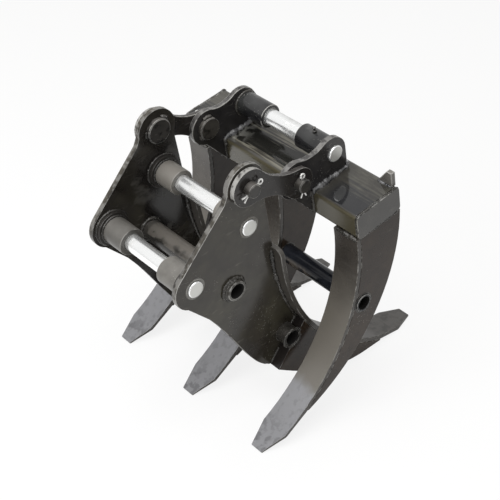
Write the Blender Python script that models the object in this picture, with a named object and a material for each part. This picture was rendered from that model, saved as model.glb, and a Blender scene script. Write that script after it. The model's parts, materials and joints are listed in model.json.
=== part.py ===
"""Log grapple for a mini excavator: a boxed two-tine lower jaw with its pin frame, a three-tine
upper jaw under a crossbeam, and two link plates that join them.

Metres, +Z up. The grapple stands on its tine points with the jaws closed, as on a workshop floor.
Pieces are drawn in two flat drawings, one for the frame and one for the upper jaw, each with x
towards the back and z up. The frame's drawing starts at its link pin, the jaw's at its own.
"""
import math

import bmesh
import bpy
from mathutils import Vector
from mathutils.geometry import tessellate_polygon

# Driving dimensions, in metres and degrees
FIT = 0.0003                    # gap between pieces that touch
SMOOTH_ANGLE = math.radians(35)
FACE_STEPS = 20                 # facets along a tine

# Steel that the whole tool shares
PLATE = 0.010                   # side plates and ears
TINE_WIDTH = 0.055              # across a tine's face
TIP_WIDTH = 0.026
TIP_THICKNESS = 0.004
TUBE_WALL = 0.004
LIP = 0.003                     # depth at which a box runs out behind its face plate

# Excavator pins and their bosses
PIN_DIAMETER = 0.030
PIN_PROUD = 0.004
PIN_CHAMFER = 0.0015
BORE_CLEARANCE = 0.0004
BOSS_PROUD = 0.001
SPIGOT_DIAMETER = 0.037         # a frame boss is turned down to this through its plate
DIPPER_BOSS_DIAMETER = 0.049
LINKAGE_BOSS_DIAMETER = 0.046
TOP_BOSS_DIAMETER = 0.044
COLLAR_WIDTH = 0.007            # how far a collar stands out from its boss
COLLAR_THICKNESS = 0.008
DIPPER_GAP = 0.096
LINKAGE_GAP = 0.106
TOP_GAP = 0.082

# Frame, measured from the link pin at the top of the side plate
FRAME_WIDTH = 0.232
LINKAGE_PIN = (-0.009, -0.082)
DIPPER_PIN = (-0.132, -0.126)
UPPER_TIE = (-0.061, -0.182)
LOWER_TIE = (0.024, -0.361)
TOP_EYE_RADIUS = 0.038
DIPPER_EYE_RADIUS = 0.039
FRONT_EDGE = (-0.046, -0.010)   # where the front edge bends out of the top eye
REAR_EDGE = 0.031
UPPER_TIE_DIAMETER = 0.038
UPPER_TIE_WALL = 0.0055
UPPER_TIE_PROUD = 0.010
LOWER_TIE_DIAMETER = 0.036
STOP_GAP = 0.0073               # from the lower tube to the middle tine's face when shut

# Lower tine: its face is an arc and then straight, its closed box hangs behind it
LOWER_STRAP = 0.009
LOWER_FACE_RADIUS = 0.405
LOWER_TOP = (0.0375, -0.155)    # top end of the face plate
LOWER_BEND = (0.236, -0.538)    # where the arc gives way to the straight
LOWER_CORNER = (0.285, -0.553)  # where the point starts to narrow
LOWER_TIP = (0.3285, -0.567)
LOWER_TOP_CORNER = 0.013        # radius of the face plate's top corners
BELLY = (                       # the side plate's lower front edge, from the dipper eye down
    (-0.119, -0.210), (-0.103, -0.243), (-0.088, -0.279), (-0.073, -0.318),
    (-0.057, -0.357), (-0.043, -0.385), (-0.030, -0.403),
)
BOX_FRONT = (-0.018, -0.412)    # foot of the box's closed front
BOX_FRONT_SLOPE = 44.0          # degrees above level
BOX_BOTTOM = (
    (0.021, -0.451), (0.060, -0.484), (0.100, -0.512), (0.138, -0.530),
    (0.175, -0.541), (0.215, -0.547),
)

# Links and their pins
LINK_LENGTH = 0.115
LINK_REST = 30.4                # degrees below level when the jaws are shut
LINK_THICKNESS = 0.009
LINK_PLAY = 0.001               # between a link and the plate or ear beside it
LINK_FRAME_EYE = 0.033
LINK_JAW_EYE = 0.028
LINK_WAIST_RADIUS = 0.100
LINK_PIN_DIAMETER = 0.025
LINK_PIN_STUB = 0.013
FRAME_HEAD_DIAMETER = 0.046
JAW_HEAD_DIAMETER = 0.042
LINK_HEAD_THICKNESS = 0.008
COTTER_WIRE = 0.003
COTTER_HOLE = 0.0072
COTTER_EYE_RADIUS = 0.0042
COTTER_LEG = 0.023
COTTER_SPREAD = 0.004
FRAME_COTTER_TURN = 70.0        # degrees that the eye leans back from upright
JAW_COTTER_TURN = 5.0

# Upper jaw, measured from its link pin
EAR_PITCH = 0.089
EAR_JAW_EYE = 0.034
EAR_TOP_EYE = 0.033
EAR_TOP_EYE_SHIFT = 0.008       # the top eye's centre sits in front of its pin
EAR_SADDLE_RADIUS = 0.060
EAR_FOOT_ANGLE = 254.0          # degrees round the front eye where the lower edge leaves it
BEAM_FRONT = 0.030
BEAM_TOP = -0.044
BEAM_DEPTH = 0.100
BEAM_HEIGHT = 0.050
BEAM_WALL = 0.005
BEAM_CORNER = 0.008
END_CAP = 0.005
TINE_INSET = 0.001              # outer tine from the end of the beam
JAW_SIDE_GAP = 0.0245           # from a lower tine to the upper tine outside it

# Upper tine: its face is an arc and then straight, its closed box ends in another arc
UPPER_STRAP = 0.008
FACE_PROUD = 0.003              # the face plate stands this far in front of the beam
UPPER_FACE_RADIUS = 0.324
UPPER_FACE_CHORD = 0.3784       # from the beam to where the point starts
UPPER_TIP_LENGTH = 0.048
UPPER_TIP_SLOPE = 18.0          # degrees below level, towards the front
UPPER_BACK_RUN = (0.035, 0.009)  # from the start of the point to the lower end of the back
UPPER_BACK_RADIUS = 0.327
JAW_TIE_DIAMETER = 0.034
JAW_TIE_ANGLE = -22.8           # round the face plate's arc, in degrees
JAW_TIE_CLEARANCE = 0.0015      # between the tube and the face plate
JAW_TIE_PROUD = 0.003
NIPPLE_OFFSET = 0.072
LUG_THICKNESS = 0.010
LUG_FROM_END = 0.019

# Worked out from the dimensions above
PLATE_OUTER = FRAME_WIDTH / 2
PLATE_INNER = PLATE_OUTER - PLATE
PLATE_MIDDLE = PLATE_OUTER - PLATE / 2
LINK_INNER = PLATE_OUTER + LINK_PLAY
LINK_OUTER = LINK_INNER + LINK_THICKNESS
BORE_RADIUS = PIN_DIAMETER / 2 + BORE_CLEARANCE
LINK_BORE_RADIUS = LINK_PIN_DIAMETER / 2 + BORE_CLEARANCE
COTTER_HEIGHT = LINK_OUTER + LINK_PIN_STUB / 2
BEAM_BOTTOM = BEAM_TOP - BEAM_HEIGHT
BEAM_BACK = BEAM_FRONT + BEAM_DEPTH
TINE_SEAT = BEAM_BOTTOM - FIT
OUTER_TINE = PLATE_MIDDLE + TINE_WIDTH + JAW_SIDE_GAP
BEAM_LENGTH = 2 * (OUTER_TINE + TINE_WIDTH / 2 + TINE_INSET)
JAW_PIN = (
    LINK_LENGTH * math.cos(math.radians(LINK_REST)), -LINK_LENGTH * math.sin(math.radians(LINK_REST)),
)
SIDES = (("right", -1), ("left", 1))


# Drawing helpers

def arc(centre, radius, start, end, steps):
    """Points on a circle from one angle to another, in degrees, both ends included."""
    points = []
    for step in range(steps + 1):
        angle = math.radians(start + (end - start) * step / steps)
        points.append((centre[0] + radius * math.cos(angle), centre[1] + radius * math.sin(angle)))
    return points


def circle(centre, radius, steps=24):
    return arc(centre, radius, 0.0, 360.0, steps)[:-1]


def angle_to(centre, point):
    """Direction from a centre to a point, in degrees from 0 to 360."""
    return math.degrees(math.atan2(point[1] - centre[1], point[0] - centre[0])) % 360.0


def between(start, end, share):
    return (start[0] + (end[0] - start[0]) * share, start[1] + (end[1] - start[1]) * share)


def circles_meet(centre, radius, other, other_radius):
    """The meeting point of two circles on the left of the way from one to the other."""
    apart = math.dist(centre, other)
    along = (apart ** 2 + radius ** 2 - other_radius ** 2) / (2 * apart)
    aside = math.sqrt(radius ** 2 - along ** 2)
    way = ((other[0] - centre[0]) / apart, (other[1] - centre[1]) / apart)
    return (centre[0] + way[0] * along - way[1] * aside, centre[1] + way[1] * along + way[0] * aside)


def line_meets_circle(point, slope, centre, radius):
    """The two points, in order, where a line at a slope in degrees meets a circle."""
    way = (math.cos(math.radians(slope)), math.sin(math.radians(slope)))
    reach = (centre[0] - point[0]) * way[0] + (centre[1] - point[1]) * way[1]
    off = way[0] * (centre[1] - point[1]) - way[1] * (centre[0] - point[0])
    half = math.sqrt(radius ** 2 - off ** 2)
    return [
        (point[0] + way[0] * distance, point[1] + way[1] * distance)
        for distance in (reach - half, reach + half)
    ]


def waist(centre, radius, other, other_radius, fillet, steps=8):
    """A hollow curve that touches two eyes, on the left of the way from one to the other."""
    middle = circles_meet(centre, radius + fillet, other, other_radius + fillet)
    return arc(middle, fillet, angle_to(middle, centre), angle_to(middle, other), steps)


def spline(points, steps=4):
    """A smooth curve through the points."""
    first = between(points[1], points[0], 2.0)
    last = between(points[-2], points[-1], 2.0)
    padded = [first] + list(points) + [last]
    curve = []
    for index in range(1, len(padded) - 2):
        before, start, end, after = (Vector(padded[index + shift]) for shift in (-1, 0, 1, 2))
        for step in range(steps):
            t = step / steps
            point = (
                start * 2 + (end - before) * t
                + (before * 2 - start * 5 + end * 4 - after) * t ** 2
                + (start * 3 - before - end * 3 + after) * t ** 3
            ) / 2
            curve.append(tuple(point))
    curve.append(tuple(points[-1]))
    return curve


def left_normals(points):
    """Unit normals on the left of a path, averaged at its corners."""
    normals = []
    for index in range(len(points)):
        before = Vector(points[max(index - 1, 0)])
        after = Vector(points[min(index + 1, len(points) - 1)])
        along = (after - before).normalized()
        normals.append(Vector((-along.y, along.x)))
    return normals


def beside(points, distance):
    """The path moved to its left."""
    moved = []
    for point, normal in zip(points, left_normals(points)):
        moved.append((point[0] + normal.x * distance, point[1] + normal.y * distance))
    return moved


def tidied(outline):
    """An outline without points that repeat the one before."""
    kept = []
    for point in outline:
        if not kept or math.dist(point, kept[-1]) > 1e-5:
            kept.append(point)
    if math.dist(kept[0], kept[-1]) < 1e-5:
        kept.pop()
    return kept


# Solids

def new_object(name, mesh, material, pivot):
    own = material.copy()
    own.name = f"{name}_{material.name}"
    mesh.materials.append(own)
    piece = bpy.data.objects.new(name, mesh)
    bpy.context.scene.collection.objects.link(piece)
    piece.parent = pivot
    mesh.shade_smooth()
    mesh.set_sharp_from_angle(angle=SMOOTH_ANGLE)
    return piece


def finished_mesh(name, bm):
    bmesh.ops.remove_doubles(bm, verts=bm.verts, dist=1e-6)
    bmesh.ops.recalc_face_normals(bm, faces=bm.faces)
    mesh = bpy.data.meshes.new(name)
    bm.to_mesh(mesh)
    bm.free()
    return mesh


def plate(name, outline, ends, material, pivot, holes=()):
    """A flat plate cut to an outline with holes, from one y to another."""
    loops = [tidied(outline)] + [tidied(hole) for hole in holes]
    flat = [point for loop in loops for point in loop]
    triangles = tessellate_polygon([[(x, z, 0.0) for x, z in loop] for loop in loops])
    bm = bmesh.new()
    rings = []
    for y in ends:
        rings.append([bm.verts.new((x, y, z)) for x, z in flat])
        for triangle in triangles:
            bm.faces.new([rings[-1][index] for index in triangle])
    first = 0
    for loop in loops:
        for index in range(len(loop)):
            here = first + index
            after = first + (index + 1) % len(loop)
            bm.faces.new((rings[0][here], rings[0][after], rings[1][after], rings[1][here]))
        first += len(loop)
    return new_object(name, finished_mesh(name, bm), material, pivot)


def turned(name, profile, centre, material, pivot, steps=32):
    """A piece turned about an axis along y: its profile is a closed loop of (radius, y)."""
    bm = bmesh.new()
    rings = []
    for radius, y in profile:
        if radius == 0.0:
            rings.append([bm.verts.new((centre[0], y, centre[1]))] * steps)
        else:
            rings.append([bm.verts.new((x, y, z)) for x, z in circle(centre, radius, steps)])
    for ring, following in zip(rings, rings[1:] + rings[:1]):
        for index in range(steps):
            after = (index + 1) % steps
            corners = []
            for corner in (ring[index], ring[after], following[after], following[index]):
                if corner not in corners:
                    corners.append(corner)
            if len(corners) > 2:
                bm.faces.new(corners)
    return new_object(name, finished_mesh(name, bm), material, pivot)


def tube(name, centre, outer, wall, half_length, material, pivot):
    """An open tube across the tool."""
    radius = outer / 2
    profile = [
        (radius, -half_length), (radius, half_length),
        (radius - wall, half_length), (radius - wall, -half_length),
    ]
    turned(name, profile, centre, material, pivot)


def loft(name, sections, material, pivot):
    """A solid skinned over equal rings of points, with flat ends."""
    bm = bmesh.new()
    rings = [[bm.verts.new(point) for point in section] for section in sections]
    for ring, following in zip(rings, rings[1:]):
        for index in range(len(ring)):
            after = (index + 1) % len(ring)
            bm.faces.new((ring[index], ring[after], following[after], following[index]))
    bm.faces.new(rings[0])
    bm.faces.new(rings[-1])
    return new_object(name, finished_mesh(name, bm), material, pivot)


def cut_with(piece, cutter):
    """Takes a cutter out of a piece."""
    cutter.hide_render = True
    cutter.display_type = "WIRE"
    cut = piece.modifiers.new("cut", "BOOLEAN")
    cut.operation = "DIFFERENCE"
    cut.solver = "EXACT"
    cut.object = cutter


def material(name, colour, roughness, metallic):
    made = bpy.data.materials.new(name)
    made.use_nodes = True
    shader = made.node_tree.nodes["Principled BSDF"]
    shader.inputs["Base Color"].default_value = (*colour, 1.0)
    shader.inputs["Roughness"].default_value = roughness
    shader.inputs["Metallic"].default_value = metallic
    return made


def empty(name, place, turn, parent):
    made = bpy.data.objects.new(name, None)
    bpy.context.scene.collection.objects.link(made)
    made.parent = parent
    made.location = place
    made.rotation_euler = (0.0, turn, 0.0)
    return made


# Tines

def stations_along(path, depth, taper_from):
    """Stations of (point, back, half width) along a face, tapering from one point to the end."""
    start = path[taper_from]
    tip_depth = math.copysign(TIP_THICKNESS, depth)
    stations = []
    for index, (point, normal) in enumerate(zip(path, left_normals(path))):
        share = math.dist(start, point) / math.dist(start, path[-1]) if index > taper_from else 0.0
        thickness = depth + (tip_depth - depth) * share
        half_width = (TINE_WIDTH + (TIP_WIDTH - TINE_WIDTH) * share) / 2
        back = (point[0] + normal.x * thickness, point[1] + normal.y * thickness)
        stations.append((point, back, half_width))
    return stations


def face_plate(name, stations, middle, material, pivot):
    """The curved face plate of a tine."""
    sections = []
    for point, back, half_width in stations:
        sections.append([
            (point[0], middle - half_width, point[1]), (point[0], middle + half_width, point[1]),
            (back[0], middle + half_width, back[1]), (back[0], middle - half_width, back[1]),
        ])
    loft(name, sections, material, pivot)


def box_ends(middle):
    return (middle - TINE_WIDTH / 2, middle + TINE_WIDTH / 2)


def upper_face_start():
    return (BEAM_FRONT - FACE_PROUD, TINE_SEAT)


def upper_face_centre():
    """The face's arc starts at the beam and passes just behind the frame's lower tube."""
    tie = (LOWER_TIE[0] - JAW_PIN[0], LOWER_TIE[1] - JAW_PIN[1])
    reach = UPPER_FACE_RADIUS - STOP_GAP - LOWER_TIE_DIAMETER / 2
    return circles_meet(tie, reach, upper_face_start(), UPPER_FACE_RADIUS)


def upper_corner():
    """Where an upper tine's point starts."""
    return circles_meet(upper_face_start(), UPPER_FACE_CHORD, upper_face_centre(), UPPER_FACE_RADIUS)


def upper_face():
    """The concave face of an upper tine, from the beam down to where its point starts."""
    centre = upper_face_centre()
    first = math.degrees(math.asin((TINE_SEAT - centre[1]) / UPPER_FACE_RADIUS))
    return arc(centre, UPPER_FACE_RADIUS, first, angle_to(centre, upper_corner()) - 360.0, FACE_STEPS)


def upper_box_outline():
    """The closed box behind an upper tine's face plate, from the beam to where it runs out."""
    start = (BEAM_BACK, TINE_SEAT)
    corner = upper_corner()
    end = (corner[0] + UPPER_BACK_RUN[0], corner[1] + UPPER_BACK_RUN[1])
    centre = circles_meet(end, UPPER_BACK_RADIUS, start, UPPER_BACK_RADIUS)
    front = []
    for point in beside(upper_face(), UPPER_STRAP + FIT):
        if UPPER_BACK_RADIUS - math.dist(centre, point) > LIP:
            front.append(point)
    front[0] = (front[0][0], TINE_SEAT)
    first = math.degrees(math.asin((TINE_SEAT - centre[1]) / UPPER_BACK_RADIUS))
    last = angle_to(centre, front[-1]) - 360.0
    return front + arc(centre, UPPER_BACK_RADIUS, last, first, FACE_STEPS)


def jaw_tie():
    """The axis of the tube that ties the upper tines, close behind their face plates."""
    reach = UPPER_FACE_RADIUS + UPPER_STRAP + JAW_TIE_CLEARANCE + JAW_TIE_DIAMETER / 2
    return arc(upper_face_centre(), reach, JAW_TIE_ANGLE, JAW_TIE_ANGLE, 1)[0]


def build_upper_tines(paint, pivot):
    slope = math.radians(UPPER_TIP_SLOPE)
    corner = upper_corner()
    tip = (
        corner[0] - math.cos(slope) * UPPER_TIP_LENGTH,
        corner[1] - math.sin(slope) * UPPER_TIP_LENGTH,
    )
    stations = stations_along(upper_face() + [tip], UPPER_STRAP, FACE_STEPS)
    tie_hole = circle(jaw_tie(), JAW_TIE_DIAMETER / 2 + FIT)
    for side, middle in (("right", -OUTER_TINE), ("middle", 0.0), ("left", OUTER_TINE)):
        face_plate(f"upper_tine_face_{side}", stations, middle, paint, pivot)
        plate(
            f"upper_tine_box_{side}", upper_box_outline(), box_ends(middle), paint, pivot, [tie_hole],
        )


# Frame

def lower_face_centre():
    return circles_meet(LOWER_TOP, LOWER_FACE_RADIUS, LOWER_BEND, LOWER_FACE_RADIUS)


def lower_face():
    """The concave face of a lower tine, from its top end down to its tip."""
    centre = lower_face_centre()
    start = angle_to(centre, LOWER_TOP)
    end = angle_to(centre, LOWER_BEND)
    return arc(centre, LOWER_FACE_RADIUS, start, end, FACE_STEPS) + [LOWER_CORNER, LOWER_TIP]


def behind_face():
    """The side plate's and the box's edge along the curved back of the lower face plate."""
    return beside(lower_face(), -(LOWER_STRAP + FIT))[:FACE_STEPS + 1]


def box_front_top():
    """Where the box's closed front meets the back of the face plate."""
    radius = LOWER_FACE_RADIUS + LOWER_STRAP + FIT
    return line_meets_circle(BOX_FRONT, BOX_FRONT_SLOPE, lower_face_centre(), radius)[0]


def tie_notch(over_top):
    """The edge that leaves room for the lower tie tube in the box's closed front."""
    radius = LOWER_TIE_DIAMETER / 2 + FIT
    first, last = line_meets_circle(BOX_FRONT, BOX_FRONT_SLOPE, LOWER_TIE, radius)
    start = angle_to(LOWER_TIE, first)
    end = angle_to(LOWER_TIE, last)
    if not over_top:
        end += 360.0
    return arc(LOWER_TIE, radius, start, end, 12)


def side_plate_outline():
    """The side plate: top eye, front edge, dipper eye, belly, box front and the tine's back."""
    touch = angle_to(DIPPER_PIN, FRONT_EDGE)
    touch += math.degrees(math.acos(DIPPER_EYE_RADIUS / math.dist(DIPPER_PIN, FRONT_EDGE)))
    rear = -math.degrees(math.acos(REAR_EDGE / TOP_EYE_RADIUS))
    top = box_front_top()
    outline = arc((0.0, 0.0), TOP_EYE_RADIUS, rear, 176.0, 16)
    outline += [FRONT_EDGE]
    outline += arc(DIPPER_PIN, DIPPER_EYE_RADIUS, touch, 238.0, 10)
    outline += spline(BELLY)
    outline += [BOX_FRONT]
    outline += tie_notch(True)
    outline += [top]
    behind = [point for point in behind_face() if point[1] > top[1]]
    seat = beside(lower_face(), -LOWER_STRAP)[0][1] + FIT
    behind[0] = (behind[0][0], seat)
    outline += behind[::-1]
    outline += [(REAR_EDGE, seat)]
    return outline


def lower_box_outline():
    """The closed box behind the lower tine's face plate."""
    slope = math.radians(BOX_FRONT_SLOPE)
    clear = (math.sin(slope) * FIT, -math.cos(slope) * FIT)
    top = box_front_top()
    behind = [point for point in behind_face() if point[1] < top[1]]
    lip = (behind[-1][0], behind[-1][1] - LIP)
    front = [top] + tie_notch(False)[::-1] + [BOX_FRONT]
    front = [(x + clear[0], z + clear[1]) for x, z in front]
    return front + spline((front[-1],) + BOX_BOTTOM)[1:] + [lip] + behind[::-1]


def rounded_top(stations):
    """The stations of a face plate with the corners of its top end rounded."""
    first, second = stations[:2]
    length = math.dist(first[0], second[0])
    rounded = []
    for step in range(5):
        angle = math.radians(90.0 * step / 4)
        share = LOWER_TOP_CORNER * (1.0 - math.cos(angle)) / length
        inset = LOWER_TOP_CORNER * (1.0 - math.sin(angle))
        rounded.append((
            between(first[0], second[0], share), between(first[1], second[1], share),
            first[2] - inset,
        ))
    return rounded + stations[1:]


def build_side(side, sign, paint, pivot):
    """One side plate, its tine's face plate and the box behind it."""
    holes = [
        circle((0.0, 0.0), LINK_BORE_RADIUS),
        circle(LINKAGE_PIN, SPIGOT_DIAMETER / 2 + FIT),
        circle(DIPPER_PIN, SPIGOT_DIAMETER / 2 + FIT),
        circle(UPPER_TIE, UPPER_TIE_DIAMETER / 2 + FIT),
    ]
    ends = (sign * PLATE_INNER, sign * PLATE_OUTER)
    middle = sign * PLATE_MIDDLE
    face = lower_face()
    stations = rounded_top(stations_along(face, -LOWER_STRAP, len(face) - 2))
    plate(f"side_plate_{side}", side_plate_outline(), ends, paint, pivot, holes)
    face_plate(f"lower_tine_face_{side}", stations, middle, paint, pivot)
    plate(f"lower_tine_box_{side}", lower_box_outline(), box_ends(middle), paint, pivot)


def build_ties(paint, tube_paint, frame, jaw):
    tube(
        "upper_tie_tube", UPPER_TIE, UPPER_TIE_DIAMETER, UPPER_TIE_WALL,
        PLATE_OUTER + UPPER_TIE_PROUD, paint, frame,
    )
    tube(
        "lower_tie_tube", LOWER_TIE, LOWER_TIE_DIAMETER, TUBE_WALL,
        PLATE_MIDDLE + TINE_WIDTH / 2, paint, frame,
    )
    tube(
        "jaw_tie_tube", jaw_tie(), JAW_TIE_DIAMETER, TUBE_WALL,
        OUTER_TINE + TINE_WIDTH / 2 + JAW_TIE_PROUD, tube_paint, jaw,
    )


# Bosses and pins

def build_frame_boss(name, centre, diameter, gap, sign, paint, pivot):
    """A boss with a collar against the side plate's inner face and a spigot through the plate."""
    body = diameter / 2
    collar = body + COLLAR_WIDTH
    collar_outer = PLATE_INNER - FIT
    collar_inner = collar_outer - COLLAR_THICKNESS
    spigot = SPIGOT_DIAMETER / 2
    end = PLATE_OUTER + BOSS_PROUD
    profile = [
        (BORE_RADIUS, gap / 2), (body, gap / 2), (body, collar_inner), (collar, collar_inner),
        (collar, collar_outer), (spigot, collar_outer), (spigot, end), (BORE_RADIUS, end),
    ]
    turned(name, [(radius, sign * y) for radius, y in profile], centre, paint, pivot)


def build_top_boss(side, sign, paint, pivot):
    """A plain boss against the inner face of the ear."""
    body = TOP_BOSS_DIAMETER / 2
    seat = PLATE_INNER - FIT
    profile = [(BORE_RADIUS, TOP_GAP / 2), (body, TOP_GAP / 2), (body, seat), (BORE_RADIUS, seat)]
    profile = [(radius, sign * y) for radius, y in profile]
    turned(f"top_boss_{side}", profile, (EAR_PITCH, 0.0), paint, pivot)


def build_pin(name, centre, steel, pivot):
    """A plain round pin right across the tool, with chamfered ends."""
    radius = PIN_DIAMETER / 2
    end = PLATE_OUTER + PIN_PROUD
    half = [(0.0, end), (radius - PIN_CHAMFER, end), (radius, end - PIN_CHAMFER)]
    profile = half + [(r, -y) for r, y in reversed(half)]
    turned(name, profile, centre, steel, pivot)


def build_link_pin(name, head_diameter, sign, steel, pivot):
    """A headed link pin: the head is on the inner face, the drilled stub outside the link."""
    shank = LINK_PIN_DIAMETER / 2
    stub = LINK_OUTER + LINK_PIN_STUB
    head = head_diameter / 2
    head_outer = PLATE_INNER - FIT
    head_inner = head_outer - LINK_HEAD_THICKNESS
    profile = [
        (0.0, stub), (shank - PIN_CHAMFER, stub), (shank, stub - PIN_CHAMFER), (shank, head_outer),
        (head, head_outer), (head, head_inner + PIN_CHAMFER), (head - PIN_CHAMFER, head_inner),
        (0.0, head_inner),
    ]
    return turned(name, [(radius, sign * y) for radius, y in profile], (0.0, 0.0), steel, pivot)


def drill_for_cotter(pin, sign, turn, steel, pivot):
    """The cross hole in a link pin's stub."""
    bm = bmesh.new()
    bmesh.ops.create_cone(
        bm, cap_ends=True, segments=16, radius1=COTTER_HOLE / 2, radius2=COTTER_HOLE / 2,
        depth=LINK_PIN_DIAMETER * 2,
    )
    cutter = new_object(f"{pin.name}_hole", finished_mesh("hole", bm), steel, pivot)
    cutter.location = (0.0, sign * COTTER_HEIGHT, 0.0)
    cutter.rotation_euler = (0.0, turn, 0.0)
    cut_with(pin, cutter)


def build_cotter(name, sign, turn, steel, pivot):
    """A split pin: an eye above the stub, two legs through it, their ends bent apart."""
    apart = COTTER_WIRE / 2 + FIT / 2
    top = LINK_PIN_DIAMETER / 2 + COTTER_WIRE / 2 + FIT
    eye_centre = top + math.sqrt(COTTER_EYE_RADIUS ** 2 - apart ** 2)
    gap = math.degrees(math.asin(apart / COTTER_EYE_RADIUS))
    eye = arc((0.0, eye_centre), COTTER_EYE_RADIUS, gap - 90.0, 270.0 - gap, 12)
    right_leg = [(apart + COTTER_SPREAD, -COTTER_LEG), (apart, -top)]
    left_leg = [(-x, z) for x, z in reversed(right_leg)]
    path = right_leg + eye + left_leg
    curve = bpy.data.curves.new(name, "CURVE")
    curve.dimensions = "3D"
    curve.bevel_depth = COTTER_WIRE / 2
    curve.bevel_resolution = 1
    curve.use_fill_caps = True
    wire = curve.splines.new("POLY")
    wire.points.add(len(path) - 1)
    for point, (across, rise) in zip(wire.points, path):
        point.co = (across, 0.0, rise, 1.0)
    curve.materials.append(steel)
    piece = bpy.data.objects.new(name, curve)
    bpy.context.scene.collection.objects.link(piece)
    piece.parent = pivot
    piece.location = (0.0, sign * COTTER_HEIGHT, 0.0)
    piece.rotation_euler = (0.0, turn, 0.0)


def build_nipple(steel, pivot):
    """The grease nipple on top of the right top boss."""
    profile = [
        (0.0, 0.0), (0.0040, 0.0), (0.0040, 0.0035), (0.0026, 0.0045), (0.0022, 0.0070),
        (0.0030, 0.0082), (0.0030, 0.0098), (0.0016, 0.0110), (0.0, 0.0110),
    ]
    piece = turned("grease_nipple", profile, (0.0, 0.0), steel, pivot, steps=12)
    piece.location = (EAR_PITCH, -NIPPLE_OFFSET, TOP_BOSS_DIAMETER / 2 + FIT)
    piece.rotation_euler = (math.radians(90), 0.0, 0.0)


# Links

def link_outline():
    """A dog-bone plate: two round eyes and a hollow waist that touches both."""
    near = (0.0, 0.0)
    far = (LINK_LENGTH, 0.0)
    above = waist(near, LINK_FRAME_EYE, far, LINK_JAW_EYE, LINK_WAIST_RADIUS)
    leave = angle_to(near, above[0])
    meet = angle_to(far, above[-1])
    outline = arc(near, LINK_FRAME_EYE, leave, 360.0 - leave, 20)
    outline += [(x, -z) for x, z in above]
    outline += arc(far, LINK_JAW_EYE, -meet, meet, 16)
    outline += above[::-1]
    return outline


def build_link(side, sign, paint, pivot):
    holes = [circle((0.0, 0.0), LINK_BORE_RADIUS), circle((LINK_LENGTH, 0.0), LINK_BORE_RADIUS)]
    ends = (sign * LINK_INNER, sign * LINK_OUTER)
    plate(f"link_{side}", link_outline(), ends, paint, pivot, holes)


# Upper jaw

def rounded_box(inset):
    """The crossbeam's section, or the same drawn in by an inset."""
    radius = BEAM_CORNER - inset
    left = BEAM_FRONT + inset + radius
    right = BEAM_BACK - inset - radius
    top = BEAM_TOP - inset - radius
    bottom = BEAM_BOTTOM + inset + radius
    outline = []
    for turn, corner in enumerate(((right, top), (left, top), (left, bottom), (right, bottom))):
        outline += arc(corner, radius, turn * 90.0, turn * 90.0 + 90.0, 5)
    return outline


def build_beam(paint, pivot):
    half = BEAM_LENGTH / 2 - END_CAP - FIT
    plate("crossbeam", rounded_box(0.0), (-half, half), paint, pivot, [rounded_box(BEAM_WALL)])
    for side, sign in SIDES:
        ends = (sign * (half + FIT), sign * BEAM_LENGTH / 2)
        plate(f"crossbeam_cap_{side}", rounded_box(0.0), ends, paint, pivot)


def ear_outline():
    """An ear: link eye, top pin eye, a heel on the beam's top and a toe down its front."""
    seat = BEAM_TOP + FIT
    face = BEAM_FRONT - FIT
    near = (0.0, 0.0)
    far = (EAR_PITCH - EAR_TOP_EYE_SHIFT, 0.0)
    saddle = waist(near, EAR_JAW_EYE, far, EAR_TOP_EYE, EAR_SADDLE_RADIUS)
    outline = [(far[0] + EAR_TOP_EYE, seat)]
    outline += arc(far, EAR_TOP_EYE, 0.0, angle_to(far, saddle[-1]), 10)
    outline += saddle[::-1]
    outline += arc(near, EAR_JAW_EYE, angle_to(near, saddle[0]), EAR_FOOT_ANGLE, 14)
    outline += [(face, BEAM_BOTTOM + BEAM_CORNER / 2), (face, seat)]
    return outline


def build_ear(side, sign, paint, pivot):
    holes = [circle((0.0, 0.0), LINK_BORE_RADIUS), circle((EAR_PITCH, 0.0), BORE_RADIUS)]
    ends = (sign * PLATE_INNER, sign * PLATE_OUTER)
    plate(f"ear_{side}", ear_outline(), ends, paint, pivot, holes)


def build_lug(paint, pivot):
    """The small horn near the right end of the beam, hooked over its top back edge."""
    seat = BEAM_TOP + FIT
    back = BEAM_BACK + FIT
    outline = [
        (back - 0.020, seat), (back - 0.015, seat + 0.028), (back - 0.010, seat + 0.034),
        (back - 0.003, seat + 0.032), (back + 0.009, seat + 0.014), (back + 0.016, seat - 0.010),
        (back, seat - 0.014), (back, seat),
    ]
    low = LUG_FROM_END - BEAM_LENGTH / 2 - LUG_THICKNESS / 2
    plate("beam_lug", outline, (low, low + LUG_THICKNESS), paint, pivot)


# Standing on the floor

def lowest(pieces, tilt):
    """Lowest height of a group of pieces when the drawing is tilted back by an angle."""
    heights = []
    for piece in pieces:
        for vertex in piece.data.vertices:
            place = piece.matrix_world @ vertex.co
            heights.append(place.x * math.sin(tilt) + place.z * math.cos(tilt))
    return min(heights)


def stand_on_floor(stand, frame_pieces, jaw_pieces):
    """Tilts the tool until both jaws touch the floor, then centres its footprint on the origin."""
    low, high = 0.0, math.radians(30)
    for _ in range(40):
        tilt = (low + high) / 2
        if lowest(jaw_pieces, tilt) > lowest(frame_pieces, tilt):
            low = tilt
        else:
            high = tilt
    stand.rotation_euler = (0.0, -tilt, 0.0)
    bpy.context.view_layer.update()
    corners = []
    for piece in frame_pieces + jaw_pieces:
        corners += [piece.matrix_world @ vertex.co for vertex in piece.data.vertices]
    middle_x = (min(corner.x for corner in corners) + max(corner.x for corner in corners)) / 2
    floor = min(corner.z for corner in corners)
    stand.location = (-middle_x, 0.0, -floor)


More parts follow.
